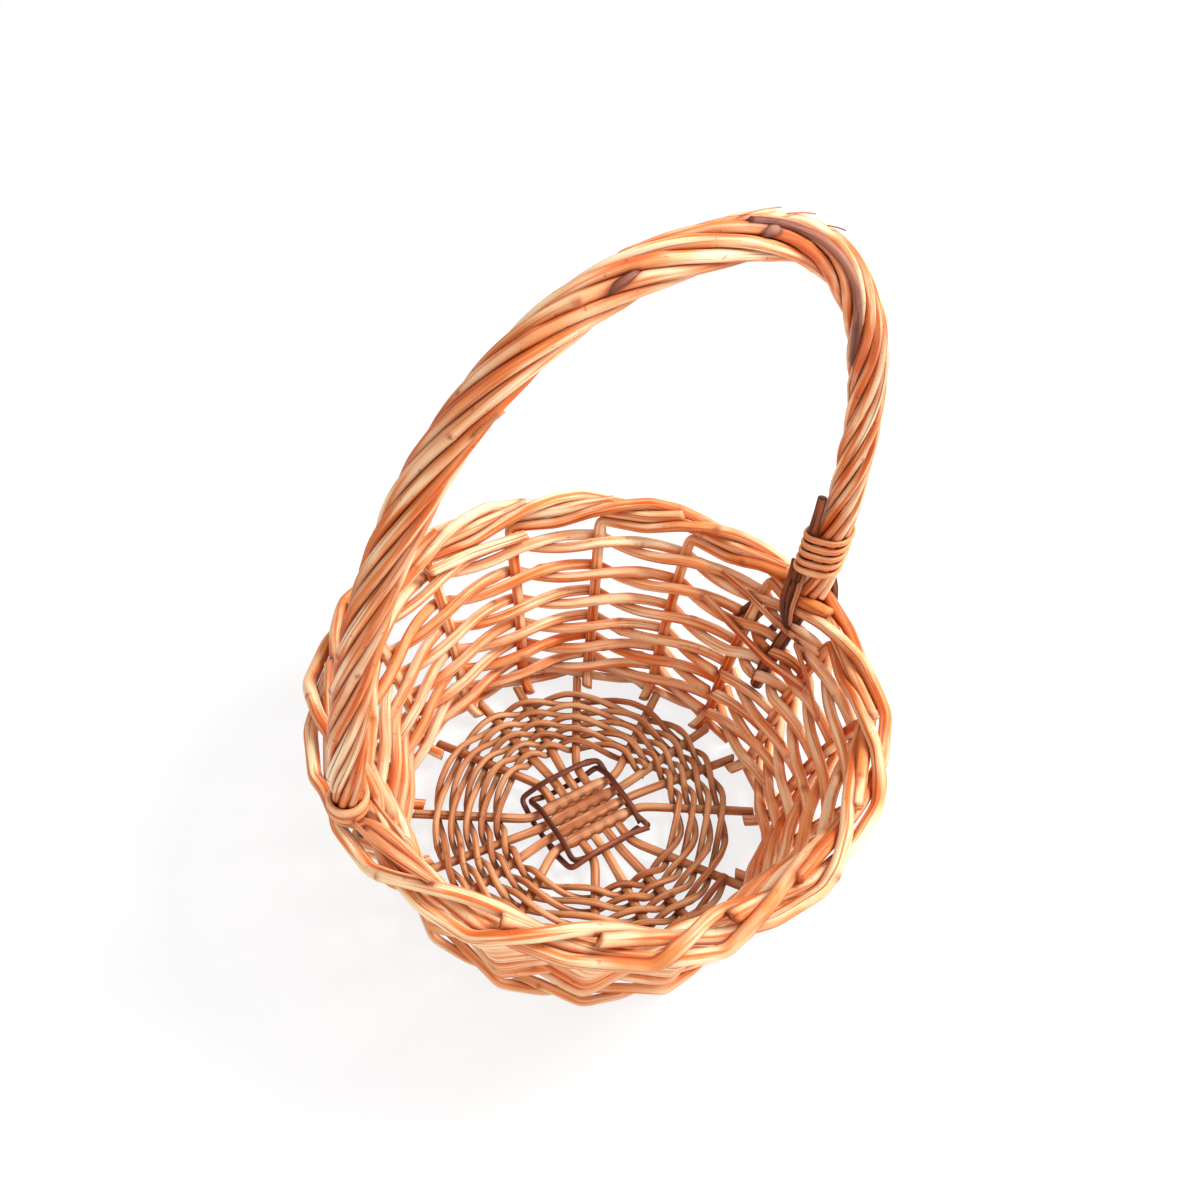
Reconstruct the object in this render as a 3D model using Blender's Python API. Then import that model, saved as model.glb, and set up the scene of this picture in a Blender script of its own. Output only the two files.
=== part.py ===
# Round willow basket with a hoop handle
# Crossed base sticks, upright stakes, woven rows, a border rolled from the stakes, and a wrapped bow handle.
# Metres, +Z up. The origin is on the floor at the middle, and the handle stands in the XZ plane.

import math

import bmesh
import bpy
from mathutils import Vector

# Clearances, the foot row's flat and counts
gap = 0.0003
weave_gap = 0.0003
stick_gap = 0.0005
foot_cut = 0.0005
stake_count = 16
stick_count = 4

# Rods
stake_diameter = 0.006
border_rod_diameter = 0.0072
stick_diameter = 0.005
pierced_stick_diameter = 0.0072
foot_rod_diameter = 0.005
low_rod_diameter = 0.0054
high_rod_diameter = 0.006
base_rod_diameter = 0.0036
tie_rod_diameter = 0.0032

# Base
base_height = 0.0098
base_radius = 0.0945
base_rim_width = 0.0096
base_weave_end_radius = base_radius - base_rim_width
stick_spacing = 0.0078
splay_radius = 0.028
tie_radius = 0.0225
tie_corner_radius = (tie_radius + tie_rod_diameter + gap) * math.sqrt(2.0)
tie_weave_width = 0.0082
base_weave_start_radius = tie_corner_radius + tie_weave_width
slot_height = 0.0032
shaved_width = 0.005
stake_tail_length = 0.006
stake_tail_radius = base_radius - stake_tail_length
foot_out_swing = 0.0049
foot_in_swing = 0.0029

# Handle, whose span sets the width of the basket's mouth
core_radius = 0.0038
handle_rod_diameter = 0.0045
handle_rod_count = 8
handle_lay_pitch = 0.25
handle_half_span = 0.1365
handle_rise = 0.257
handle_lean = 0.0172
handle_fullness = 2.35

# Border
border_inset_depth = 0.0015
border_radius = handle_half_span - border_inset_depth
border_height = 0.115
handle_spring_rise = 0.01
handle_spring_height = border_height + handle_spring_rise
handle_rod_foot_rise = 0.0126
handle_rod_foot_height = border_height + handle_rod_foot_rise

# Wall
bend_start_depth = 0.001
bend_start_radius = base_radius - bend_start_depth
bend_depth = 0.0047
bend_radius = base_radius + bend_depth
bend_height = 0.0117
bend_end_height = 0.014
wall_foot_depth = 0.007
wall_foot_radius = base_radius + wall_foot_depth
border_flare_depth = 0.006
wall_top_radius = border_radius - border_flare_depth
wall_top_drop = 0.017
wall_top_height = border_height - wall_top_drop
wall_flare_share = 0.39
low_row_height = 0.0187
low_row_pitch = 0.0143
low_row_count = 3
low_top_height = low_row_height + (low_row_count - 1) * low_row_pitch
high_row_count = 3
high_top_drop = 0.0192
high_row_pitch = (border_height - high_top_drop - low_top_height) / high_row_count
high_row_height = low_top_height + high_row_pitch
leg_tail_length = 0.0086
leg_end_height = high_row_height - leg_tail_length

# Bindings at the handle feet and the peg beside the right one
binding_diameter = 0.0042
binding_right_rise = 0.022
binding_right_turns = 5
binding_right_pitch = 0.0056
binding_left_rise = 0.016
binding_left_turns = 2
binding_left_pitch = 0.0052
binding_gap = 0.0006
peg_diameter = 0.006
peg_rise = 0.0165
peg_length = 0.0545
peg_turn_share = 0.44

# Ends of rods that meet themselves, as shares of the step to the next point
row_end_share = 0.06
tie_end_share = 0.12

# How finely the rods are divided
rod_sides = 5
core_sides = 8
stick_sides = 8
corner_share = 0.25
upright_stations = 5
leg_stations = 4
arch_stations = 120
handle_stations = 34
fine_stations = 900
binding_points = 14
peg_stations = 5
weld_distance = 0.00001
cube_side = 1.0

# The border at places past a stake, in spacings: shares of one rod's step outside its middle and above it
border_path_shares = [
    (0.0, -0.1, -1.3),
    (0.5, -0.75, -1.0),
    (1.0, -1.2, 0.2),
    (1.25, -1.5, 1.3),
    (1.6, -0.7, 1.05),
    (2.0, 0.95, -0.6),
    (2.3, 1.15, 0.65),
    (2.6, 1.3, 1.5),
    (3.0, -0.2, 1.0),
    (3.25, -0.3, 0.15),
]
# The same where a rod passes beside a leg of the bow
border_leg_shares = {0.5: (-1.5, -1.1)}

turn = 2.0 * math.pi
stake_step = turn / stake_count
stake_radius = stake_diameter / 2.0
border_rod_radius = border_rod_diameter / 2.0
stick_radius = stick_diameter / 2.0


# Small helpers

def clear_scene():
    for item in list(bpy.data.objects):
        bpy.data.objects.remove(item, do_unlink=True)


def wood(name, colour, roughness):
    material = bpy.data.materials.new(name)
    material.use_nodes = True
    shader = material.node_tree.nodes["Principled BSDF"]
    shader.inputs["Base Color"].default_value = (*colour, 1.0)
    shader.inputs["Roughness"].default_value = roughness
    shader.inputs["Metallic"].default_value = 0.0
    return material


def polar(angle, radius, height):
    return Vector((radius * math.cos(angle), radius * math.sin(angle), height))


def wall_radius(height):
    t = (height - base_height) / (wall_top_height - base_height)
    eased = (1.0 - wall_flare_share) * t + wall_flare_share * t * t
    return wall_foot_radius + (wall_top_radius - wall_foot_radius) * eased


def wall_lean(height):
    step = wall_top_height - base_height
    rise = 1.0 - wall_flare_share + 2.0 * wall_flare_share * (height - base_height) / step
    return math.atan((wall_top_radius - wall_foot_radius) / step * rise)


def cut_corners(points, sharp):
    # Each corner gives way to two gentler ones, apart from the sharp ones
    smooth = [points[0]]
    for i in range(len(points) - 1):
        if i > 0:
            smooth.append(points[i].lerp(points[i + 1], corner_share))
        if i < len(points) - 2:
            smooth.append(points[i + 1].lerp(points[i], corner_share))
            if i + 1 in sharp:
                smooth.append(points[i + 1])
    smooth.append(points[-1])
    return smooth


def resample(points, count):
    lengths = [0.0]
    for a, b in zip(points, points[1:]):
        lengths.append(lengths[-1] + (b - a).length)
    even = []
    k = 0
    for i in range(count):
        target = lengths[-1] * i / (count - 1)
        while k < len(points) - 2 and lengths[k + 1] < target:
            k += 1
        share = (target - lengths[k]) / (lengths[k + 1] - lengths[k])
        even.append(points[k].lerp(points[k + 1], share))
    return even


def line_length(points):
    return sum((b - a).length for a, b in zip(points, points[1:]))


def make_profile(name, sides):
    # Unit outline that each rod's own radius scales
    curve = bpy.data.curves.new(name, "CURVE")
    curve.dimensions = "2D"
    spline = curve.splines.new("POLY")
    spline.points.add(sides - 1)
    for i, point in enumerate(spline.points):
        angle = -turn * i / sides - turn / 4.0
        point.co = (math.cos(angle), math.sin(angle), 0.0, 1.0)
    spline.use_cyclic_u = True
    guide = bpy.data.objects.new(name, curve)
    guide.hide_render = True
    guide.display_type = "WIRE"
    bpy.context.collection.objects.link(guide)
    return guide


def rod_curve(name, points, radius, twist, profile):
    curve = bpy.data.curves.new(name, "CURVE")
    curve.dimensions = "3D"
    curve.bevel_mode = "OBJECT"
    curve.bevel_object = profile
    curve.use_fill_caps = True
    curve.twist_mode = twist
    spline = curve.splines.new("POLY")
    spline.points.add(len(points) - 1)
    for point, place in zip(spline.points, points):
        point.co = (*place, 1.0)
        point.radius = radius
    return curve


def rod(name, points, radius, material, twist="MINIMUM", profile=None):
    curve = rod_curve(name, points, radius, twist, profile or rod_profile)
    curve.materials.append(material)
    item = bpy.data.objects.new(name, curve)
    bpy.context.collection.objects.link(item)
    return item


# Woven rows

def flat_offset(reach, spacing):
    # How far a strand stands off a straight row of rods so that its slanting run clears them
    return reach / math.sqrt(1.0 - (2.0 * reach / spacing) ** 2)


def round_offset(reach, side, ring, crossing_angle, crossing_ring):
    # The same on a round wall, where the strand crosses its partner nearer the middle of the basket
    run = crossing_ring * math.sin(crossing_angle)
    dip = side * (ring - crossing_ring * math.cos(crossing_angle))
    room = run * run - reach * reach
    return (reach * reach * dip + reach * run * math.sqrt(room + dip * dip)) / room


def crossing_lift(radius, reach):
    # Half the height between two strands where they cross on the slant
    half = radius + gap / 2.0
    return half / math.sqrt(1.0 - (half / reach) ** 2)


def row_posts(height):
    # Angle and radius of every upright that a row passes, the handle's legs included where they reach it
    posts = [((k + 0.5) * stake_step, stake_radius) for k in range(stake_count)]
    if height > leg_end_height:
        posts += [(0.0, core_radius), (turn / 2.0, core_radius)]
    return sorted(posts)


def part_ends(points):
    # The two ends of a round of rod stop just short of each other
    first = points[0].lerp(points[1], row_end_share)
    last = points[-1].lerp(points[-2], row_end_share)
    return [first] + points[1:-1] + [last]


def wall_strand(height, diameter, first_side):
    # Strands stand off square to the leaning wall and cross each other along it
    radius = diameter / 2.0
    lean = wall_lean(height)
    lift = crossing_lift(radius, stake_radius + radius + gap)
    ring = wall_radius(height)
    posts = row_posts(height)
    count = len(posts)
    points = []
    for i in range(count + 1):
        angle, thickness = posts[i % count]
        side = first_side if i % 2 == 0 else -first_side
        reach = thickness + radius + weave_gap
        offset = 0.0
        for k in (i - 1, i + 1):
            other_angle, other_thickness = posts[k % count]
            apart = abs(math.remainder(other_angle - angle, turn))
            other_reach = other_thickness + radius + weave_gap
            crossing_angle = apart * reach / (reach + other_reach)
            crossing_ring = ring * math.cos(apart / 2.0) / math.cos(crossing_angle - apart / 2.0)
            offset = max(offset, round_offset(reach, side, ring, crossing_angle, crossing_ring))
        off = side * offset
        points.append(polar(angle, ring + off * math.cos(lean), height - off * math.sin(lean)))
        if i < count:
            up = side * lift
            crossing = crossing_ring + up * math.sin(lean)
            points.append(polar(angle + crossing_angle, crossing, height + up * math.cos(lean)))
    return part_ends(points)


def foot_strand(side):
    # Two rods woven under the turned-up stakes, each outside one stake and under the next
    radius = foot_rod_diameter / 2.0
    lift = crossing_lift(radius, (foot_out_swing + foot_in_swing) / 2.0)
    centre_height = lift + radius - foot_cut
    bend_slope = math.atan2(bend_end_height - bend_height, wall_radius(bend_end_height) - bend_radius)
    reach = radius + stake_radius + stick_gap
    drop = bend_height - centre_height
    under = bend_radius + (reach - drop * math.cos(bend_slope)) / math.sin(bend_slope)
    ring = under + foot_in_swing
    points = []
    for i in range(stake_count + 1):
        points.append(polar(i * stake_step, ring, centre_height + side * lift))
        out = foot_out_swing if side > 0.0 else -foot_in_swing
        if i < stake_count:
            points.append(polar((i + 0.5) * stake_step, ring + out, centre_height))
        side = -side
    return part_ends(points)


def make_foot():
    for index, letter in enumerate("ab"):
        points = foot_strand(1.0 - 2.0 * index)
        name = "foot_strand_" + letter
        curve = rod_curve(name, points, foot_rod_diameter / 2.0, "Z_UP", rod_profile)
        source = bpy.data.objects.new(name, curve)
        bpy.context.collection.objects.link(source)
        bpy.context.view_layer.update()
        evaluated = source.evaluated_get(bpy.context.evaluated_depsgraph_get())
        mesh = bpy.data.meshes.new_from_object(evaluated)
        bpy.data.objects.remove(source, do_unlink=True)
        cut = bmesh.new()
        cut.from_mesh(mesh)
        bmesh.ops.remove_doubles(cut, verts=cut.verts, dist=weld_distance)
        geometry = cut.verts[:] + cut.edges[:] + cut.faces[:]
        bmesh.ops.bisect_plane(cut, geom=geometry, plane_co=(0, 0, 0), plane_no=(0, 0, -1), clear_outer=True)
        bmesh.ops.holes_fill(cut, edges=[e for e in cut.edges if e.is_boundary])
        cut.to_mesh(mesh)
        cut.free()
        mesh.materials.clear()
        mesh.materials.append(brown_willow)
        item = bpy.data.objects.new(name, mesh)
        bpy.context.collection.objects.link(item)


def make_wall():
    rows = []
    for i in range(low_row_count):
        rows.append(("low_row_" + str(i + 1), low_row_height + i * low_row_pitch, low_rod_diameter))
    for i in range(high_row_count):
        rows.append(("high_row_" + str(i + 1), high_row_height + i * high_row_pitch, high_rod_diameter))
    for name, height, diameter in rows:
        for letter, side in (("a", 1.0), ("b", -1.0)):
            points = wall_strand(height, diameter, side)
            rod(name + letter, points, diameter / 2.0, buff_willow, "Z_UP")


# Stakes and border

def passes_leg(angle, phase):
    at = angle - phase * stake_step
    return phase in border_leg_shares and abs(math.remainder(at, turn / 2.0)) < stake_step / 4.0


def border_point(angle, phase, out_share, up_share):
    step = border_rod_diameter + gap
    out = out_share * step
    if passes_leg(angle, phase):
        out_share, up_share = border_leg_shares[phase]
        out = out_share * (core_radius + border_rod_radius + gap)
    return polar(angle - phase * stake_step, border_radius + out, border_height + up_share * step)


def stake_path(angle):
    path = [border_point(angle, *shares) for shares in border_path_shares]
    sharp = [i for i, shares in enumerate(border_path_shares) if passes_leg(angle, shares[0])]
    rolled = cut_corners(path, sharp)
    foot = [
        polar(angle, stake_tail_radius, base_height),
        polar(angle, bend_start_radius, base_height),
        polar(angle, bend_radius, bend_height),
        polar(angle, wall_radius(bend_end_height), bend_end_height),
    ]
    upright = []
    for i in range(1, upright_stations):
        height = bend_end_height + (wall_top_height - bend_end_height) * i / (upright_stations - 1)
        upright.append(polar(angle, wall_radius(height), height))
    return foot + upright + rolled


def make_stakes():
    # Slender in the wall and thicker where it is rolled into the border
    for k in range(stake_count):
        name = "stake_" + str(k + 1).zfill(2)
        item = rod(name, stake_path((k + 0.5) * stake_step), stake_radius, buff_willow)
        for point in item.data.splines[0].points:
            if point.co.z > wall_top_height:
                point.radius = border_rod_radius


# Base

def stick_end(index):
    # Each stick ends beside its stake, on the side nearer the middle of its bundle
    lane = (index + stick_count // 2) % stick_count
    side = 1.0 if lane < stick_count // 2 else -1.0
    beside = side * (stick_radius + stake_radius + stick_gap) / base_radius
    return polar((index + 0.5) * stake_step + beside, base_radius, base_height)


def stick_stations(lane, heading):
    # One straight stick through the middle whose two ends splay apart to their stakes
    across = (lane - (stick_count - 1) / 2.0) * stick_spacing
    along = Vector((math.cos(heading), math.sin(heading), 0.0))
    side = Vector((-along.y, along.x, 0.0))
    quarter = round(heading / (turn / 4.0)) * stick_count
    near = (quarter + lane - stick_count // 2) % stake_count
    far = (quarter + stake_count // 2 + stick_count // 2 - 1 - lane) % stake_count
    middle = Vector((0.0, 0.0, base_height)) + side * across
    knee = along * splay_radius
    return stick_end(far), middle - knee, middle, middle + knee, stick_end(near)


def loft(name, stations, material):
    # Closed rod from stations of place, half width and half height
    shape = bmesh.new()
    rings = []
    for i, (place, half_width, half_height) in enumerate(stations):
        before = stations[max(i - 1, 0)][0]
        after = stations[min(i + 1, len(stations) - 1)][0]
        along = (after - before).normalized()
        side = Vector((0.0, 0.0, 1.0)).cross(along).normalized()
        ring = []
        for k in range(stick_sides):
            angle = turn * (k + 0.5) / stick_sides
            lift = Vector((0.0, 0.0, half_height * math.sin(angle)))
            ring.append(shape.verts.new(place + side * (half_width * math.cos(angle)) + lift))
        rings.append(ring)
    for low, high in zip(rings, rings[1:]):
        for k in range(stick_sides):
            after = (k + 1) % stick_sides
            shape.faces.new((low[k], low[after], high[after], high[k]))
    shape.faces.new(list(reversed(rings[0])))
    shape.faces.new(rings[-1])
    bmesh.ops.recalc_face_normals(shape, faces=shape.faces)
    mesh = bpy.data.meshes.new(name)
    shape.to_mesh(mesh)
    shape.free()
    mesh.materials.append(material)
    item = bpy.data.objects.new(name, mesh)
    bpy.context.collection.objects.link(item)
    return item


def make_slot_cutter():
    length = (stick_count - 1) * stick_spacing + shaved_width + 2.0 * gap
    width = length + 2.0 * pierced_stick_diameter
    bpy.ops.mesh.primitive_cube_add(size=cube_side, location=(0.0, 0.0, base_height))
    cutter = bpy.context.object
    cutter.name = "slot_cutter"
    cutter.scale = (length, width, slot_height)
    bpy.ops.object.transform_apply(location=False, rotation=False, scale=True)
    cutter.hide_render = True
    cutter.display_type = "WIRE"
    return cutter


def make_sticks():
    cutter = make_slot_cutter()
    flat = slot_height / 2.0 - gap
    reach = (stick_count - 1) / 2.0 * stick_spacing + pierced_stick_diameter / 2.0 + gap
    for lane in range(stick_count):
        for heading, kind in ((0.0, "pierced_stick_"), (turn / 4.0, "threaded_stick_")):
            far, far_knee, middle, near_knee, near = stick_stations(lane, heading)
            inner_far = middle.lerp(far_knee, reach / splay_radius)
            inner_near = middle.lerp(near_knee, reach / splay_radius)
            if kind == "pierced_stick_":
                thick = pierced_stick_diameter / 2.0
                inner = (thick, thick)
            else:
                inner = (shaved_width / 2.0, flat)
            stations = [(far, stick_radius, stick_radius), (far_knee, stick_radius, stick_radius)]
            stations += [(inner_far, *inner), (inner_near, *inner)]
            stations += [(near_knee, stick_radius, stick_radius), (near, stick_radius, stick_radius)]
            item = loft(kind + str(lane + 1), stations, brown_willow)
            if kind == "pierced_stick_":
                slot = item.modifiers.new("slot", "BOOLEAN")
                slot.operation = "DIFFERENCE"
                slot.object = cutter


def stick_angle(index, radius):
    # Angle at which the splayed end of a stick crosses a circle round the middle
    quarter = ((index + stick_count // 2) % stake_count) // stick_count
    heading = quarter * turn / 4.0
    lane_from_low = (index + stick_count // 2) % stick_count
    across = (lane_from_low - (stick_count - 1) / 2.0) * stick_spacing
    along = Vector((math.cos(heading), math.sin(heading)))
    side = Vector((-along.y, along.x))
    knee = along * splay_radius + side * across
    run = stick_end(index).to_2d() - knee
    a = run.dot(run)
    b = 2.0 * knee.dot(run)
    c = knee.dot(knee) - radius * radius
    share = (-b + math.sqrt(b * b - 4.0 * a * c)) / (2.0 * a)
    place = knee + run * share
    return math.atan2(place.y, place.x)


def base_strand(first_side):
    radius = base_rod_diameter / 2.0
    reach = stick_radius + radius + gap
    lift = crossing_lift(radius, reach)
    row_pitch = 2.0 * lift + base_rod_diameter + gap
    steps = int((base_weave_end_radius - base_weave_start_radius) / row_pitch * stake_count)
    points = []
    for i in range(steps + 1):
        ring = base_weave_start_radius + row_pitch * i / stake_count
        here = stick_angle(i % stake_count, ring)
        gaps = []
        for other in (i - 1, i + 1):
            beside = stick_angle(other % stake_count, ring)
            gaps.append(abs(math.remainder(beside - here, turn)) * ring)
        side = first_side if i % 2 == 0 else -first_side
        offset = max(flat_offset(reach, apart) for apart in gaps)
        points.append(polar(here, ring, base_height + side * offset))
        if i < steps:
            after = stick_angle((i + 1) % stake_count, ring)
            half = math.remainder(after - here, turn) / 2.0
            middle_ring = ring + row_pitch / stake_count / 2.0 + side * lift
            points.append(polar(here + half, middle_ring, base_height))
    return points


def tie_loop(corner, first_side):
    # A strand goes over one bundle of sticks and under the next, all round the cross
    points = []
    for quarter in range(4):
        thick = (pierced_stick_diameter if quarter % 2 == 0 else stick_diameter) / 2.0
        side = first_side if quarter % 2 == 0 else -first_side
        reach = thick + tie_rod_diameter / 2.0 + gap
        edge = (stick_count - 1) / 2.0 * stick_spacing
        across = corner - edge
        rise = reach / math.sqrt(1.0 - (reach / across) ** 2)
        heading = quarter * turn / 4.0
        along = Vector((math.cos(heading), math.sin(heading), 0.0))
        beside = Vector((-along.y, along.x, 0.0))
        height = Vector((0.0, 0.0, base_height))
        lift = Vector((0.0, 0.0, side * rise))
        points.append(along * corner - beside * corner + height)
        points.append(along * corner - beside * edge + height + lift)
        points.append(along * corner + beside * edge + height + lift)
    start = points[0].lerp(points[1], tie_end_share)
    end = points[0].lerp(points[-1], tie_end_share)
    return [start] + points[1:] + [end]


def make_base():
    make_sticks()
    inner = tie_loop(tie_radius, 1.0)
    outer = tie_loop(tie_radius + tie_rod_diameter + gap, -1.0)
    rod("base_tie_a", inner, tie_rod_diameter / 2.0, dark_willow, "Z_UP")
    rod("base_tie_b", outer, tie_rod_diameter / 2.0, dark_willow, "Z_UP")
    rod("base_weaver_a", base_strand(1.0), base_rod_diameter / 2.0, brown_willow, "Z_UP")
    rod("base_weaver_b", base_strand(-1.0), base_rod_diameter / 2.0, brown_willow, "Z_UP")


# Handle

def handle_line():
    # Middle line of the bow from the foot of its right leg over the top to its left leg
    leg = []
    leg_run = wall_top_height - leg_end_height
    for i in range(leg_stations):
        height = leg_end_height + leg_run * i / (leg_stations - 1)
        leg.append((wall_radius(height), height))
    leg.append((border_radius, border_height))
    arch = []
    for i in range(arch_stations + 1):
        angle = math.pi * i / arch_stations
        reach = abs(math.cos(angle)) ** (2.0 / handle_fullness)
        rise = math.sin(angle) ** (2.0 / handle_fullness) if 0 < i < arch_stations else 0.0
        across = math.copysign(handle_half_span * reach, math.cos(angle))
        arch.append(Vector((across, -handle_lean * rise, handle_spring_height + handle_rise * rise)))
    right = [Vector((x, 0.0, z)) for x, z in leg]
    left = [Vector((-x, 0.0, z)) for x, z in reversed(leg)]
    return right + arch + left


def line_frame(points, index):
    before = points[max(index - 1, 0)]
    after = points[min(index + 1, len(points) - 1)]
    along = (after - before).normalized()
    inward = Vector((0.0, 1.0, 0.0)).cross(along).normalized()
    return inward, along.cross(inward)


def above(points, height):
    return [p for p in points if p.z >= height]


def strand_ring(line):
    # Widened so that the straight run between two stations still clears the bow
    step = turn / 2.0 * line_length(line) / (len(line) - 1) / handle_lay_pitch
    return (core_radius + handle_rod_diameter / 2.0 + gap) / math.cos(step)


def bundle_radius(line):
    return strand_ring(line) + handle_rod_diameter / 2.0


def handle_strand(line, index):
    ring = strand_ring(line)
    points = []
    run = 0.0
    for i, place in enumerate(line):
        if i > 0:
            run += (place - line[i - 1]).length
        angle = turn * index / handle_rod_count + turn * run / handle_lay_pitch
        inward, beside = line_frame(line, i)
        points.append(place + inward * (ring * math.cos(angle)) + beside * (ring * math.sin(angle)))
    return points


def peg_offset(line):
    return bundle_radius(line) + gap + peg_diameter / 2.0


def leg_stretch(line, low, right):
    # The handle's line from a height upwards on one side, in steps finer than any piece needs
    side = line if right else list(reversed(line))
    fine = resample(side, fine_stations)
    return above(fine, low)[:fine_stations // 3]


def binding(line, start, turns, pitch, right, peg_angle):
    # Turns round the bundle of handle rods, and round the peg beside it where there is one
    bundle = bundle_radius(line)
    cover = binding_diameter / 2.0 + binding_gap
    dense = leg_stretch(line, start, right)
    points = []
    count = turns * binding_points
    for i in range(count + 1):
        run = pitch * i / binding_points
        k = min(range(len(dense)), key=lambda j: abs((dense[j] - dense[0]).length - run))
        angle = turn * i / binding_points
        inward, beside = line_frame(dense, k)
        facing = inward * math.cos(angle) + beside * math.sin(angle)
        around = facing * ((bundle + cover) / math.cos(turn / 2.0 / binding_points))
        if peg_angle is not None:
            reach = peg_offset(line) * math.cos(angle - peg_angle) + peg_diameter / 2.0
            if reach > bundle:
                peg_way = inward * math.cos(peg_angle) + beside * math.sin(peg_angle)
                wide = (peg_diameter / 2.0 + cover) / math.cos(turn / 2.0 / binding_points)
                around = peg_way * peg_offset(line) + facing * wide
        points.append(dense[k] + around)
    return points


def least_gap(points, diameter, skip):
    # Smallest space between turns of one winding, from its points
    least = min(
        (points[i] - points[j]).length for i in range(len(points)) for j in range(i + skip, len(points))
    )
    return least - diameter


def make_handle():
    line = handle_line()
    wrapped = resample(above(line, handle_rod_foot_height), handle_stations)
    legs = [p for p in line if p.z < handle_rod_foot_height]
    right_leg = [p for p in legs if p.x > 0.0]
    left_leg = [p for p in legs if p.x < 0.0]
    rod("handle_core", right_leg + wrapped + left_leg, core_radius, brown_willow, profile=core_profile)
    for index in range(handle_rod_count):
        name = "handle_strand_" + str(index + 1)
        rod(name, handle_strand(wrapped, index), handle_rod_diameter / 2.0, buff_willow)
    peg_angle = turn * peg_turn_share
    right_start = border_height + binding_right_rise
    left_start = border_height + binding_left_rise
    right = binding(wrapped, right_start, binding_right_turns, binding_right_pitch, True, peg_angle)
    left = binding(wrapped, left_start, binding_left_turns, binding_left_pitch, False, None)
    rod("binding_right", right, binding_diameter / 2.0, pale_skein)
    rod("binding_left", left, binding_diameter / 2.0, pale_skein)
    peg_low = border_height + peg_rise
    beside_line = leg_stretch(wrapped, peg_low, True)
    peg_run = []
    for i, place in enumerate(beside_line):
        if place.z <= peg_low + peg_length:
            inward, beside = line_frame(beside_line, i)
            way = inward * math.cos(peg_angle) + beside * math.sin(peg_angle)
            peg_run.append(place + way * peg_offset(wrapped))
    rod("handle_peg", resample(peg_run, peg_stations), peg_diameter / 2.0, dark_willow)
    for name, points in (("right", right), ("left", left)):
        clear = least_gap(points, binding_diameter, binding_points // 2)
        print("binding", name, "least gap to itself", round(clear * 1000.0, 2), "mm")


clear_scene()
buff_willow = wood("buff_willow", (0.72, 0.42, 0.20), 0.5)
brown_willow = wood("brown_willow", (0.50, 0.27, 0.12), 0.55)
dark_willow = wood("dark_willow", (0.16, 0.07, 0.03), 0.6)
pale_skein = wood("pale_skein", (0.70, 0.36, 0.18), 0.5)
rod_profile = make_profile("rod_profile", rod_sides)
core_profile = make_profile("core_profile", core_sides)
make_base()
make_foot()
make_stakes()
make_wall()
make_handle()
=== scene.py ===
import math
import random

import bpy
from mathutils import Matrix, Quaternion, Vector, kdtree, noise


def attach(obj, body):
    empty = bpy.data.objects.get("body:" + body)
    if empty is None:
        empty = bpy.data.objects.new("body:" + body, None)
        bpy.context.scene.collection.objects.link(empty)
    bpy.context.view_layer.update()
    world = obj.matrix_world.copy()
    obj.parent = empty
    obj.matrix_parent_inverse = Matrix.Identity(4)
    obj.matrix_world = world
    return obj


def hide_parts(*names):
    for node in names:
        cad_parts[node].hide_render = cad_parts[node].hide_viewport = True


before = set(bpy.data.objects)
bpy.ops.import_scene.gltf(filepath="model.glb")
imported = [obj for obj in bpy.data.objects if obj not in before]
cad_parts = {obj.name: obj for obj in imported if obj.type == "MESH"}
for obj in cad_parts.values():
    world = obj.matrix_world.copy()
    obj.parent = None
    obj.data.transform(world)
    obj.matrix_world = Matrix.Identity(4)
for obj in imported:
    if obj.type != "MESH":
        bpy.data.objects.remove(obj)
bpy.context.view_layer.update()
print("frame loaded,", len(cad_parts), "nodes")

# Round willow basket with a hoop handle, in metres, standing on the floor with the handle across X
turn = 2.0 * math.pi
hair = 0.0003  # the gap left between rods that lie against each other
bumpHeight = 0.0006
finePoints = 1500  # points of a finely divided line


# Nodes and links

def addNode(tree, kind, place, **values):
    node = tree.nodes.new(kind)
    node.location = (place[0] * 200, place[1] * 180)
    for key, value in values.items():
        if key in node.inputs:
            node.inputs[key].default_value = value
        else:
            setattr(node, key, value)
    return node


def wire(tree, source, output, target, entry):
    tree.links.new(source.outputs[output], target.inputs[entry])


def mixColours(tree, place, blend="MIX"):
    node = addNode(tree, "ShaderNodeMix", place, data_type="RGBA", blend_type=blend)
    node.inputs[0].default_value = 1.0
    return node


def mapRange(tree, place, ends, smooth=False):
    node = addNode(tree, "ShaderNodeMapRange", place)
    if smooth:
        node.interpolation_type = "SMOOTHSTEP"
    for key, value in zip(("From Min", "From Max", "To Min", "To Max"), ends):
        node.inputs[key].default_value = value
    return node


def joinMasks(tree, place, first, firstOutput, second, secondOutput):
    node = addNode(tree, "ShaderNodeMath", place, operation="MAXIMUM", use_clamp=True)
    wire(tree, first, firstOutput, node, 0)
    wire(tree, second, secondOutput, node, 1)
    return node


def seenDirectly(tree):
    # One where the camera, a gloss or a glass looks straight at the surface
    path = addNode(tree, "ShaderNodeLightPath", (-2, 3))
    seen = joinMasks(tree, (-1, 3), path, "Is Camera Ray", path, "Is Glossy Ray")
    return joinMasks(tree, (0, 3), seen, 0, path, "Is Transmission Ray")


# Willow skin: streaks along the rod, patches, specks and dark marks, and painted shade in the creases and
# seams between rods

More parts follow.
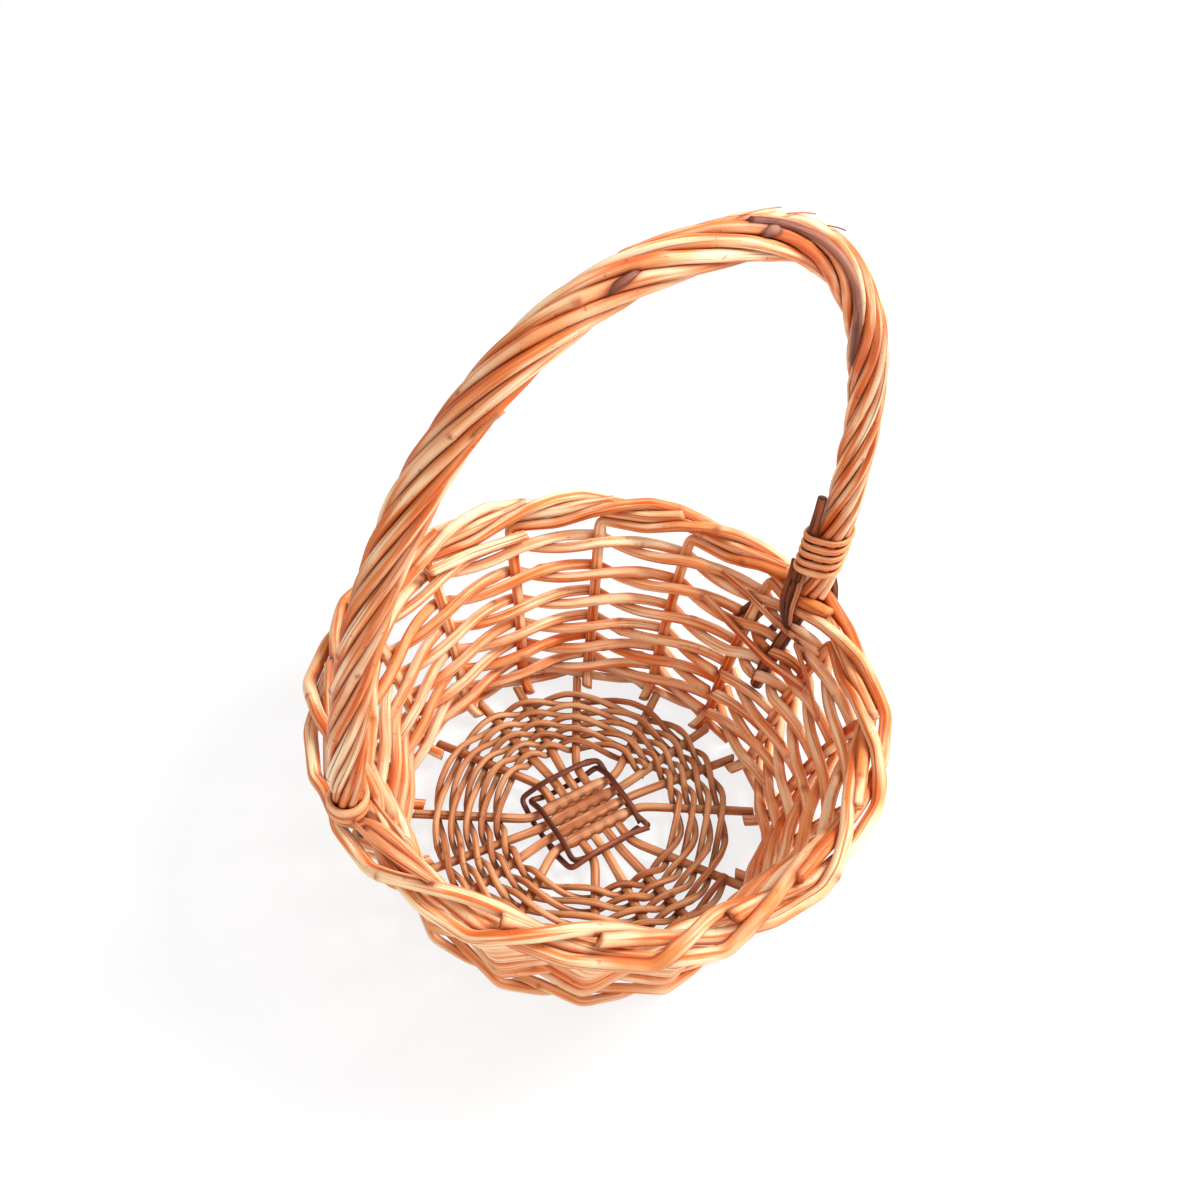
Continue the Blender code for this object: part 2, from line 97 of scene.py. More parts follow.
skinGrain = {
    "streakScale": (14.0, 400.0, 400.0),
    "patchScale": (24.0, 90.0, 90.0),
    "fibreScale": (70.0, 2400.0, 2400.0),
    "speckScale": (300.0, 420.0, 420.0),
    "veinScale": (7.0, 950.0, 950.0),
    "noises": (("streak", 3.0), ("patch", 2.0), ("fibre", 2.0), ("speck", 1.0), ("vein", 2.0)),
    "noiseRoughness": 0.55,
    "patchRange": (0.3, 0.7, -0.5, 0.5),
    "streakRange": (0.45, 0.62, 0.0, 1.0),
    "speckRange": (0.69, 0.76, 0.0, 1.0),
    "veinRange": (0.61, 0.70, 0.0, 0.8),
    # Painted shade: its uneven share in the creases between rods, and where it turns into dark painted shade
    # lines along the seams
    "paintedShadeRange": (0.3, 0.7, 0.55, 1.15),
    "seamShadeRange": (0.62, 1.0, 0.0, 0.72),
    "scabEdge": 2.5,
    "roughRange": (0.0, 1.0, 0.36, 0.62),
    "fibreShare": 0.6,
}


def makeSkinGroup():
    group = bpy.data.node_groups.new("willowSkin", "ShaderNodeTree")
    for name, kind, value in (
        ("Pale", "NodeSocketColor", (0.9, 0.6, 0.35, 1.0)),
        ("Deep", "NodeSocketColor", (0.7, 0.3, 0.12, 1.0)),
        # The stain colour also paints shade lines in the seams between rods, and the crease colour is painted
        # shade where rods lie against each other
        ("StainAndSeamShade", "NodeSocketColor", (0.2, 0.07, 0.03, 1.0)),
        ("PaintedShade", "NodeSocketColor", (0.33, 0.075, 0.022, 1.0)),
        ("Streaks", "NodeSocketFloat", 0.5),
        ("Patches", "NodeSocketFloat", 0.8),
        ("Specks", "NodeSocketFloat", 0.6),
    ):
        socket = group.interface.new_socket(name, in_out="INPUT", socket_type=kind)
        socket.default_value = value
    for name, kind in (
        ("Color", "NodeSocketColor"),
        ("Roughness", "NodeSocketFloat"),
        ("Height", "NodeSocketFloat"),
    ):
        group.interface.new_socket(name, in_out="OUTPUT", socket_type=kind)
    start = addNode(group, "NodeGroupInput", (-7, 0))
    end = addNode(group, "NodeGroupOutput", (7, 0))
    place = addNode(group, "ShaderNodeAttribute", (-7, 3), attribute_name="rodPlace")
    tone = addNode(group, "ShaderNodeAttribute", (-7, -3), attribute_name="rodTone")
    mark = addNode(group, "ShaderNodeAttribute", (-7, -4), attribute_name="rodMark")
    paintedshade = addNode(group, "ShaderNodeAttribute", (-7, -5), attribute_name="rodPaintedShade")
    noises = {}
    for row, (name, detail) in enumerate(skinGrain["noises"]):
        stretch = addNode(group, "ShaderNodeVectorMath", (-5, 3 - row), operation="MULTIPLY")
        stretch.inputs[1].default_value = skinGrain[name + "Scale"]
        wire(group, place, "Vector", stretch, 0)
        texture = addNode(group, "ShaderNodeTexNoise", (-4, 3 - row), Scale=1.0, Detail=detail)
        texture.inputs["Roughness"].default_value = skinGrain["noiseRoughness"]
        wire(group, stretch, 0, texture, "Vector")
        noises[name] = texture
    # Tone of this rod, shifted by the patches
    patch = mapRange(group, (-2, 2), skinGrain["patchRange"])
    wire(group, noises["patch"], "Fac", patch, "Value")
    shift = addNode(group, "ShaderNodeMath", (-1, 2), operation="MULTIPLY_ADD", use_clamp=True)
    wire(group, patch, "Result", shift, 0)
    wire(group, start, "Patches", shift, 1)
    wire(group, tone, "Fac", shift, 2)
    body = mixColours(group, (0, 2))
    wire(group, shift, 0, body, 0)
    wire(group, start, "Pale", body, "A")
    wire(group, start, "Deep", body, "B")
    # Streaks along the rod
    streak = mapRange(group, (-2, 0), skinGrain["streakRange"], True)
    wire(group, noises["streak"], "Fac", streak, "Value")
    streakShare = addNode(group, "ShaderNodeMath", (-1, 0), operation="MULTIPLY", use_clamp=True)
    wire(group, streak, "Result", streakShare, 0)
    wire(group, start, "Streaks", streakShare, 1)
    streakColour = mixColours(group, (1, 1), "MULTIPLY")
    wire(group, body, "Result", streakColour, "A")
    wire(group, start, "Deep", streakColour, "B")
    streaked = mixColours(group, (2, 1))
    wire(group, streakShare, 0, streaked, 0)
    wire(group, body, "Result", streaked, "A")
    wire(group, streakColour, "Result", streaked, "B")
    # Painted red-brown shade where rods lie against each other; the same colour also darkens knot marks
    uneven = mapRange(group, (0, -4), skinGrain["paintedShadeRange"])
    wire(group, noises["patch"], "Fac", uneven, "Value")
    paintedShadeShare = addNode(group, "ShaderNodeMath", (1, -4), operation="MULTIPLY", use_clamp=True)
    wire(group, uneven, "Result", paintedShadeShare, 0)
    wire(group, paintedshade, "Fac", paintedShadeShare, 1)
    paintedShadeAndKnotHalo = joinMasks(group, (2, -4), paintedShadeShare, 0, mark, "Fac")
    withShadeAndKnots = mixColours(group, (3, 1))
    wire(group, paintedShadeAndKnotHalo, 0, withShadeAndKnots, 0)
    wire(group, streaked, "Result", withShadeAndKnots, "A")
    wire(group, start, "PaintedShade", withShadeAndKnots, "B")
    # Thin dark lines along the rod, specks, painted shade lines in the seams between rods, and knot marks
    vein = mapRange(group, (-2, -2), skinGrain["veinRange"], True)
    wire(group, noises["vein"], "Fac", vein, "Value")
    speck = mapRange(group, (-2, -1), skinGrain["speckRange"], True)
    wire(group, noises["speck"], "Fac", speck, "Value")
    speckShare = addNode(group, "ShaderNodeMath", (-1, -1), operation="MULTIPLY", use_clamp=True)
    wire(group, speck, "Result", speckShare, 0)
    wire(group, start, "Specks", speckShare, 1)
    lined = joinMasks(group, (1, -2), speckShare, 0, vein, "Result")
    scab = addNode(group, "ShaderNodeMath", (1, -3), operation="POWER", use_clamp=True)
    scab.inputs[1].default_value = skinGrain["scabEdge"]
    wire(group, mark, "Fac", scab, 0)
    seamShade = mapRange(group, (1, -5), skinGrain["seamShadeRange"], True)
    wire(group, paintedshade, "Fac", seamShade, "Value")
    linesAndSeamShade = joinMasks(group, (2, -2), lined, 0, seamShade, "Result")
    marksAndSeamShade = joinMasks(group, (3, -1), linesAndSeamShade, 0, scab, 0)
    marked = mixColours(group, (4, 1))
    wire(group, marksAndSeamShade, 0, marked, 0)
    wire(group, withShadeAndKnots, "Result", marked, "A")
    wire(group, start, "StainAndSeamShade", marked, "B")
    wire(group, marked, "Result", end, "Color")
    rough = mapRange(group, (4, -1), skinGrain["roughRange"])
    wire(group, noises["streak"], "Fac", rough, "Value")
    wire(group, rough, "Result", end, "Roughness")
    height = addNode(group, "ShaderNodeMath", (4, -3), operation="MULTIPLY_ADD")
    height.inputs[1].default_value = skinGrain["fibreShare"]
    wire(group, noises["fibre"], "Fac", height, 0)
    wire(group, noises["streak"], "Fac", height, 2)
    wire(group, height, 0, end, "Height")
    return group


skinGroup = makeSkinGroup()


def makeWillow(name, look):
    material = bpy.data.materials.new(name)
    material.use_nodes = True
    tree = material.node_tree
    shader = tree.nodes["Principled BSDF"]
    skin = addNode(tree, "ShaderNodeGroup", (-3, 0), node_tree=skinGroup)
    for key in ("Pale", "Deep", "StainAndSeamShade", "PaintedShade"):
        skin.inputs[key].default_value = (*look[key.lower()], 1.0)
    for key in ("Streaks", "Patches", "Specks"):
        skin.inputs[key].default_value = look[key.lower()]
    bump = addNode(tree, "ShaderNodeBump", (-2, -2), Strength=look["bump"], Distance=bumpHeight)
    wire(tree, skin, "Color", shader, "Base Color")
    wire(tree, skin, "Roughness", shader, "Roughness")
    wire(tree, skin, "Height", bump, "Height")
    wire(tree, bump, "Normal", shader, "Normal")
    shader.inputs["Specular IOR Level"].default_value = look["gloss"]
    return material


# In each look the stain colour also paints shade lines in the seams between rods, and the crease colour is
# painted shade where rods lie against each other
willowLooks = {
    "handleWillow": {
        "pale": (0.97, 0.76, 0.48), "deep": (0.78, 0.28, 0.075),
        "stainandseamshade": (0.15, 0.035, 0.012), "paintedshade": (0.48, 0.085, 0.016),
        "streaks": 1.0, "patches": 1.5, "specks": 0.5, "bump": 0.5, "gloss": 0.3,
    },
    "borderWillow": {
        "pale": (0.96, 0.72, 0.44), "deep": (0.75, 0.26, 0.07),
        "stainandseamshade": (0.17, 0.04, 0.014), "paintedshade": (0.50, 0.095, 0.018),
        "streaks": 1.0, "patches": 1.5, "specks": 0.4, "bump": 0.5, "gloss": 0.3,
    },
    "wallWillow": {
        "pale": (0.97, 0.76, 0.49), "deep": (0.85, 0.35, 0.13),
        "stainandseamshade": (0.19, 0.05, 0.018), "paintedshade": (0.54, 0.12, 0.028),
        "streaks": 0.9, "patches": 1.3, "specks": 0.4, "bump": 0.5, "gloss": 0.25,
    },
    "baseWillow": {
        "pale": (0.76, 0.42, 0.20), "deep": (0.52, 0.20, 0.075),
        "stainandseamshade": (0.15, 0.05, 0.02), "paintedshade": (0.26, 0.06, 0.018),
        "streaks": 0.7, "patches": 0.8, "specks": 0.5, "bump": 0.5, "gloss": 0.25,
    },
    "darkWillow": {
        "pale": (0.34, 0.095, 0.035), "deep": (0.13, 0.035, 0.016),
        "stainandseamshade": (0.045, 0.016, 0.01), "paintedshade": (0.05, 0.014, 0.007),
        "streaks": 0.9, "patches": 1.0, "specks": 0.7, "bump": 0.9, "gloss": 0.3,
    },
    "splitWillow": {
        "pale": (0.92, 0.52, 0.29), "deep": (0.66, 0.23, 0.08),
        "stainandseamshade": (0.26, 0.075, 0.03), "paintedshade": (0.40, 0.08, 0.022),
        "streaks": 1.0, "patches": 0.9, "specks": 0.2, "bump": 0.9, "gloss": 0.2,
    },
    "barkWillow": {
        "pale": (0.52, 0.21, 0.12), "deep": (0.28, 0.08, 0.04),
        "stainandseamshade": (0.10, 0.03, 0.015), "paintedshade": (0.13, 0.03, 0.012),
        "streaks": 0.9, "patches": 1.2, "specks": 0.6, "bump": 0.9, "gloss": 0.3,
    },
    # A brightened copy of the split willow, painted light that lifts the bindings out of the shade they sit
    # in at the handle's feet
    "boundWillowPaintedLight": {
        "pale": (0.96, 0.62, 0.36), "deep": (0.86, 0.36, 0.14),
        "stainandseamshade": (0.50, 0.14, 0.045), "paintedshade": (0.70, 0.22, 0.065),
        "streaks": 0.8, "patches": 0.8, "specks": 0.2, "bump": 0.9, "gloss": 0.2,
    },
}
willows = {name: makeWillow(name, look) for name, look in willowLooks.items()}


# Clipped ends: pale wood round a dark pith, whose place across the rod the rod's own coordinates give

cutEnd = {
    "grain": 900.0,
    "dull": (0.60, 0.33, 0.16, 1.0),
    "fresh": (0.90, 0.68, 0.46, 1.0),
    "ramp": (0.35, 0.65),
    "pith": (0.20, 0.07, 0.03, 1.0),
    "pithRange": (0.0009, 0.0005, 0.0, 0.85),
    "roughness": 0.75,
}


def makeCutWood():
    material = bpy.data.materials.new("cutWood")
    material.use_nodes = True
    tree = material.node_tree
    shader = tree.nodes["Principled BSDF"]
    place = addNode(tree, "ShaderNodeTexCoord", (-6, 0))
    texture = addNode(tree, "ShaderNodeTexNoise", (-5, 0), Scale=cutEnd["grain"], Detail=3.0)
    ramp = addNode(tree, "ShaderNodeValToRGB", (-4, 0))
    colours = (cutEnd["dull"], cutEnd["fresh"])
    for stop, position, colour in zip(ramp.color_ramp.elements, cutEnd["ramp"], colours):
        stop.position = position
        stop.color = colour
    across = addNode(tree, "ShaderNodeAttribute", (-7, -3), attribute_name="rodPlace")
    flat = addNode(tree, "ShaderNodeVectorMath", (-6, -3), operation="MULTIPLY")
    flat.inputs[1].default_value = (0.0, 1.0, 1.0)
    reach = addNode(tree, "ShaderNodeVectorMath", (-5, -3), operation="LENGTH")
    pith = mapRange(tree, (-4, -3), cutEnd["pithRange"])
    mix = mixColours(tree, (-2, 0))
    mix.inputs["B"].default_value = cutEnd["pith"]
    wire(tree, place, "Object", texture, "Vector")
    wire(tree, texture, "Fac", ramp, "Fac")
    wire(tree, across, "Vector", flat, 0)
    wire(tree, flat, 0, reach, 0)
    wire(tree, reach, "Value", pith, "Value")
    wire(tree, pith, "Result", mix, 0)
    wire(tree, ramp, "Color", mix, "A")
    wire(tree, mix, "Result", shader, "Base Color")
    shader.inputs["Roughness"].default_value = cutEnd["roughness"]
    return material


cutWood = makeCutWood()
print("materials made")


# Paths

def polar(angle, radius, height):
    return Vector((radius * math.cos(angle), radius * math.sin(angle), height))


def pathLength(points):
    return sum((b - a).length for a, b in zip(points, points[1:]))


def resample(points, count):
    lengths = [0.0]
    for a, b in zip(points, points[1:]):
        lengths.append(lengths[-1] + (b - a).length)
    even = []
    k = 0
    for i in range(count):
        target = lengths[-1] * i / (count - 1)
        while k < len(points) - 2 and lengths[k + 1] < target:
            k += 1
        share = (target - lengths[k]) / max(lengths[k + 1] - lengths[k], 1e-9)
        even.append(points[k].lerp(points[k + 1], share))
    return even


def relax(points, passes):
    # Rounds corners as a bent rod does, with its ends held
    for _ in range(passes):
        soft = [points[0]]
        for a, b, c in zip(points, points[1:], points[2:]):
            soft.append(a * 0.25 + b * 0.5 + c * 0.25)
        points = soft + [points[-1]]
    return points


# Rods: a curve swept into a mesh, with its own coordinates, tone and marks

rodShape = {
    "step": 0.002,
    "sides": 14,
    "swell": 0.06,
    "swellLength": 0.03,
    "uneven": 0.04,
    "ribs": 0.03,
    "knotSpacing": (0.04, 0.11),
    "knotRise": 0.0005,
    "knotLength": 0.0022,
    "knotTurn": 0.75,
    "knotReach": 4.0,
    "knotCollar": 0.4,
    "knotSize": (0.5, 1.4),
    "firstKnot": 0.01,
    "markStrength": 0.8,
    "roughGrain": (60.0, 0.9),
    "ribGrain": (9.0, 3.2),
    "slant": 0.55,
    "slantShare": (0.3, 1.0),
    "pokeDepth": 0.0002,
    "mergeDistance": 0.00002,
}
rodLines = []


def selectOnly(rod):
    bpy.ops.object.select_all(action="DESELECT")
    rod.select_set(True)
    bpy.context.view_layer.objects.active = rod


def makeRod(name, path, diameter, nodes, willow, tone, seed, bend=6, ends=(1.0, 1.0), marks=1.0,
            press=None, taper=None):
    draw = random.Random(seed)
    count = max(int(pathLength(path) / rodShape["step"]), 6)
    points = relax(resample(path, count), bend)
    radii = []
    for i in range(count):
        share = i / (count - 1)
        run = i * rodShape["step"]
        swell = noise.noise(Vector((run / rodShape["swellLength"], seed * 7.3, 0.0))) * rodShape["swell"]
        radii.append(diameter / 2.0 * (ends[0] + (ends[1] - ends[0]) * share) * (1.0 + swell))
        if taper is not None:
            left = (count - 1 - i) * rodShape["step"]
            radii[-1] *= 1.0 - taper["share"] * max(1.0 - left / taper["length"], 0.0)
    curve = bpy.data.curves.new(name, "CURVE")
    curve.dimensions = "3D"
    curve.bevel_depth = 1.0
    curve.bevel_resolution = rodShape["sides"] // 2 - 2
    curve.use_fill_caps = True
    curve.twist_mode = "MINIMUM"
    spline = curve.splines.new("POLY")
    spline.points.add(count - 1)
    for point, place, radius in zip(spline.points, points, radii):
        point.co = (*place, 1.0)
        point.radius = radius
    rod = bpy.data.objects.new(name, curve)
    bpy.context.collection.objects.link(rod)
    selectOnly(rod)
    bpy.ops.object.convert(target="MESH")
    dressRod(rod, points, radii, draw, seed, tone, marks, press)
    rodLines.append((rod, points, radii))
    finishRod(rod, nodes, willow)
    return rod


def drawKnots(draw, length):
    knots = []
    run = draw.uniform(rodShape["firstKnot"], rodShape["knotSpacing"][1])
    while run < length:
        knots.append((run, draw.uniform(0.0, turn), draw.uniform(*rodShape["knotSize"])))
        run += draw.uniform(*rodShape["knotSpacing"])
    return knots


def knotAt(knots, along, angle):
    rise = 0.0
    mark = 0.0
    for run, around, size in knots:
        away = (along - run) / (rodShape["knotLength"] * size)
        if abs(away) < rodShape["knotReach"]:
            aside = math.remainder(angle - around, turn) / rodShape["knotTurn"]
            near = math.exp(-away * away - aside * aside)
            collar = rodShape["knotCollar"] * math.exp(-away * away / 4.0)
            rise += rodShape["knotRise"] * size * (near + collar)
            mark = max(mark, near)
    return rise, mark


def unevenness(grain, along, offset, angle):
    length, around = grain
    return noise.noise(Vector((along * length + offset, math.cos(angle) * around, math.sin(angle) * around)))


def dressRod(rod, points, radii, draw, seed, tone, marks, press):
    mesh = rod.data
    count = len(points)
    sides = len(mesh.vertices) // (count + 2)
    lengths = [0.0]
    for a, b in zip(points, points[1:]):
        lengths.append(lengths[-1] + (b - a).length)
    knots = drawKnots(draw, lengths[-1])
    slants = []
    for _ in range(2):
        slants.append(draw.uniform(*rodShape["slantShare"]) * rodShape["slant"] * draw.choice((-1.0, 1.0)))
    # All are made before any is fetched, because making one can move the others
    for title, kind in (("rodPlace", "FLOAT_VECTOR"), ("rodTone", "FLOAT"), ("rodMark", "FLOAT")):
        mesh.attributes.new(title, kind, "POINT")
    places = mesh.attributes["rodPlace"]
    tones = mesh.attributes["rodTone"]
    markings = mesh.attributes["rodMark"]
    caps = 2 * sides
    for index, vertex in enumerate(mesh.vertices):
        if index < caps:
            ring = 0 if (vertex.co - points[0]).length < (vertex.co - points[-1]).length else count - 1
            around = index % sides
        else:
            ring, around = divmod(index - caps, sides)
        centre = points[ring]
        out = vertex.co - centre
        along = lengths[ring]
        angle = turn * around / sides
        rise, mark = knotAt(knots, along, angle)
        rough = unevenness(rodShape["roughGrain"], along, seed * 3.1, angle)
        rib = unevenness(rodShape["ribGrain"], along, seed * 1.7, angle)
        out = out * (1.0 + rodShape["uneven"] * rough + rodShape["ribs"] * rib) + out.normalized() * rise
        if press is not None:
            out = press(centre, out)
        if ring in (0, count - 1):
            way = (points[1] - points[0] if ring == 0 else points[-1] - points[-2]).normalized()
            sideways = way.orthogonal().normalized()
            out += way * (out.dot(sideways) * slants[ring > 0])
        vertex.co = centre + out
        radius = radii[ring]
        places.data[index].vector = (along + seed * 1.37, radius * math.cos(angle), radius * math.sin(angle))
        tones.data[index].value = tone
        markings.data[index].value = min(mark * marks * rodShape["markStrength"], 1.0)


def finishRod(rod, nodes, willow):
    mesh = rod.data
    mesh.materials.clear()
    mesh.materials.append(willows[willow])
    mesh.materials.append(cutWood)
    for face in mesh.polygons:
        isCap = len(face.vertices) > 4
        face.use_smooth = not isCap
        face.material_index = 1 if isCap else 0
    selectOnly(rod)
    bpy.ops.object.mode_set(mode="EDIT")
    bpy.ops.mesh.select_mode(type="FACE")
    bpy.ops.mesh.select_all(action="SELECT")
    bpy.ops.mesh.remove_doubles(threshold=rodShape["mergeDistance"])
    bpy.ops.mesh.select_all(action="DESELECT")
    bpy.ops.object.mode_set(mode="OBJECT")
    for face in mesh.polygons:
        face.select = face.material_index == 1
    bpy.ops.object.mode_set(mode="EDIT")
    bpy.ops.mesh.poke(offset=rodShape["pokeDepth"])
    bpy.ops.object.mode_set(mode="OBJECT")
    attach(rod, "root")
    if nodes:
        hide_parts(*nodes)


# Painted shade in the creases: how near each point of a rod lies to any other rod, or to the same rod further
# along, stored for the skin to darken it

closeness = {"reach": 0.0021, "skip": 9, "near": 22}


def paintCreaseShade():
    total = sum(len(points) for rod, points, radii in rodLines)
    tree = kdtree.KDTree(total)
    owners = []
    for number, (rod, points, radii) in enumerate(rodLines):
        for i, (place, radius) in enumerate(zip(points, radii)):
            tree.insert(place, len(owners))
            owners.append((number, i, radius))
    tree.balance()
    for number, (rod, _, _) in enumerate(rodLines):
        mesh = rod.data
        paintedShades = mesh.attributes.new("rodPaintedShade", "FLOAT", "POINT")
        for index, vertex in enumerate(mesh.vertices):
            found = tree.find_n(vertex.co, closeness["near"])
            own = next((owners[k][1] for _, k, _ in found if owners[k][0] == number), 0)
            best = 1.0
            for _, k, away in found:
                owner, i, radius = owners[k]
                if owner == number and abs(i - own) < closeness["skip"]:
                    continue
                best = min(best, away - radius)
            paintedShades.data[index].value = math.exp(-max(best, 0.0) / closeness["reach"])


# Wall: stakes, woven rows and the border that the stakes are rolled into

basket = {
    "stakes": 16,
    "stakeDiameter": 0.006,
    "baseHeight": 0.0098,
    "baseRadius": 0.0945,
    "wallFoot": 0.1015,
    "wallTop": 0.129,
    "wallTopHeight": 0.098,
    "flare": 0.62,
    "borderRadius": 0.135,
    "borderHeight": 0.116,
    "legEnd": 0.05487,
    "coreRadius": 0.0038,
    "stakeStart": [(0.0885, 0.0098), (0.0935, 0.0098), (0.0992, 0.0117)],
    "uprightStart": 0.014,
    "uprightSteps": 8,
}
stakeStep = turn / basket["stakes"]
stakeRadius = basket["stakeDiameter"] / 2.0


def wallRadius(height):
    t = (height - basket["baseHeight"]) / (basket["wallTopHeight"] - basket["baseHeight"])
    eased = (1.0 - basket["flare"]) * t + basket["flare"] * t * t
    return basket["wallFoot"] + (basket["wallTop"] - basket["wallFoot"]) * eased


def wallLean(height):
    rise = basket["wallTopHeight"] - basket["baseHeight"]
    share = 1.0 - basket["flare"] + 2.0 * basket["flare"] * (height - basket["baseHeight"]) / rise
    return math.atan((basket["wallTop"] - basket["wallFoot"]) / rise * share)


wallRows = {
    "low": {"height": 0.0187, "pitch": 0.0143, "count": 3, "diameter": 0.0060, "lift": 0.00315,
            "wander": 0.0005},
    "high": {"height": 0.06347, "pitch": 0.016167, "count": 3, "diameter": 0.0062, "lift": 0.0034,
             "wander": 0.0016},
    "points": 10,
    "rounding": 0.0004,
    "wanderGrain": 2.0,
}


def rowPath(height, look, firstSide, seed):
    posts = [((k + 0.5) * stakeStep, stakeRadius) for k in range(basket["stakes"])]
    if height > basket["legEnd"]:
        posts = sorted(posts + [(0.0, basket["coreRadius"]), (turn / 2.0, basket["coreRadius"])])
    count = len(posts)
    radius = look["diameter"] / 2.0
    path = []
    held = None
    for i in range(count + 1):
        angle, thickness = posts[i % count]
        side = firstSide if i % 2 == 0 else -firstSide
        spot = polar(angle, wallRows["wanderGrain"], seed * 5.0)
        here = height + noise.noise(spot) * look["wander"]
        lean = wallLean(here)
        off = side * (thickness + radius + hair + wallRows["rounding"])
        place = polar(angle, wallRadius(here) + off * math.cos(lean), here - off * math.sin(lean))
        if held is not None:
            ahead = angle if i < count else angle + turn
            up = polar((ahead + posts[i - 1][0]) / 2.0, math.sin(lean), math.cos(lean))
            for k in range(1, wallRows["points"]):
                share = k / wallRows["points"]
                lift = up * (-side * look["lift"] * math.sin(math.pi * share))
                path.append(held.lerp(place, share) + lift)
        path.append(place)
        held = place
    path[0] = path[0].lerp(path[1], 0.5)
    path[-1] = path[-1].lerp(path[-2], 0.5)
    return path


def makeRows():
    draw = random.Random(11)
    for kind in ("low", "high"):
        look = wallRows[kind]
        for i in range(look["count"]):
            height = look["height"] + i * look["pitch"]
            for letter, side in (("a", 1.0), ("b", -1.0)):
                name = kind + "Row" + str(i + 1) + letter.upper()
                node = kind + "_row_" + str(i + 1) + letter
                seed = 20 + 10 * (kind == "high") + 3 * i
                path = rowPath(height, look, side, seed)
                makeRod(name, path, look["diameter"], [node], "wallWillow",
                        draw.uniform(0.05, 0.85), seed + (letter == "b") + 0.5, bend=3)


# The border at places past a stake, in spacings: how far a rod lies outside the border's middle and above it
border = {
    "diameter": 0.0066,
    "ends": (0.92, 1.06),
    "route": [(0.0, -0.0008, -0.0105), (0.5, -0.0072, -0.0066), (0.9, -0.0072, 0.0018),
              (1.2, -0.0046, 0.0049), (1.5, 0.0010, 0.0048), (1.8, 0.0060, 0.0010), (2.0, 0.0086, -0.0034),
              (2.5, 0.0056, -0.0042), (3.0, 0.0006, -0.0044), (3.5, -0.0032, -0.0012),
              (3.95, -0.0012, 0.0044)],
    "besideLeg": {0.5: (-0.0082, -0.0062), 1.5: (0.0075, 0.0035), 2.5: (0.0078, -0.0040),
                  3.5: (-0.0078, 0.0012)},
    "wander": 0.0007,
    "endWander": 0.35,
    "kink": 2.0,
    "earlyKink": {13: 0.42},  # stake number, and how many spacings early its rod kinks
    "kinkReach": 1.2,
}


def stakePath(angle, draw):
    rolled = []
    early = border["earlyKink"].get(round(angle / stakeStep + 0.5), 0.0)
    for phase, out, up in border["route"]:
        shift = early * max(1.0 - abs(phase - border["kink"]) / border["kinkReach"], 0.0)
        at = angle - (phase - shift) * stakeStep
        if phase in border["besideLeg"] and abs(math.remainder(at, turn / 2.0)) < stakeStep / 4.0:
            out, up = border["besideLeg"][phase]
        elif phase > 0.6:
            out += draw.uniform(-1.0, 1.0) * border["wander"]
            up += draw.uniform(-0.5, 0.5) * border["wander"]
        if phase == border["route"][-1][0]:
            at += draw.uniform(-1.0, 0.4) * border["endWander"] * stakeStep
        rolled.append(polar(at, basket["borderRadius"] + out, basket["borderHeight"] + up))
    upright = [polar(angle, radius, height) for radius, height in basket["stakeStart"]]
    low = basket["uprightStart"]
    for i in range(basket["uprightSteps"] + 1):
        height = low + (basket["wallTopHeight"] - low) * i / basket["uprightSteps"]
        upright.append(polar(angle, wallRadius(height), height))
    return upright + rolled


def makeStakes():
    draw = random.Random(5)
    for k in range(basket["stakes"]):
        number = str(k + 1).zfill(2)
        path = stakePath((k + 0.5) * stakeStep, draw)
        makeRod("stake" + number, path, border["diameter"], ["stake_" + number],
                "borderWillow", draw.uniform(0.0, 0.85), 100.5 + k, bend=4, ends=border["ends"])


# Foot: two rods woven under the turned-up stakes, each outside one stake and under the next, worn flat below

foot = {
    "diameter": 0.005,
    "ring": 0.1040,
    "height": 0.0056,
    "outSwing": 0.0049,
    "inSwing": 0.0029,
    "lift": 0.0036,
    "endGap": 0.1,
}


def footPath(side):
    path = []
    for i in range(basket["stakes"] + 1):
        path.append(polar(i * stakeStep, foot["ring"], foot["height"] + side * foot["lift"]))
        out = foot["outSwing"] if side > 0.0 else -foot["inSwing"]
        if i < basket["stakes"]:
            path.append(polar((i + 0.5) * stakeStep, foot["ring"] + out, foot["height"]))
        side = -side
    path[0] = path[0].lerp(path[1], foot["endGap"])
    path[-1] = path[-1].lerp(path[-2], foot["endGap"])
    return path


def makeFoot():
    for letter, side, tone in (("a", 1.0, 0.35), ("b", -1.0, 0.6)):
        name = "footStrand" + letter.upper()
        rod = makeRod(name, footPath(side), foot["diameter"], ["foot_strand_" + letter],
                      "wallWillow", tone, 61.5 + side, bend=2)
        for vertex in rod.data.vertices:
            vertex.co.z = max(vertex.co.z, 0.0)


# Base: crossed sticks, their ties and the weave

base = {
    "sticks": 4,
    "stickDiameter": 0.005,
    "piercedDiameter": 0.0072,
    "spacing": 0.0078,
    "splay": 0.028,
    "stakeGap": 0.0005,
    "crossReach": 0.022,
    "crossEase": 0.006,
    "threadedFlat": 0.5,
    "weaveDiameter": 0.0036,
    "weaveStart": 0.04497,
    "weaveEnd": 0.0849,
    "tieRadius": 0.0225,
    "tieDiameter": 0.0032,
    "tieLift": 1.06,
    "tieGap": 0.12,
}


def stickEnd(index):
    lane = (index + base["sticks"] // 2) % base["sticks"]
    side = 1.0 if lane < base["sticks"] // 2 else -1.0
    beside = side * (base["stickDiameter"] / 2.0 + stakeRadius + base["stakeGap"]) / basket["baseRadius"]
    return polar((index + 0.5) * stakeStep + beside, basket["baseRadius"], basket["baseHeight"])


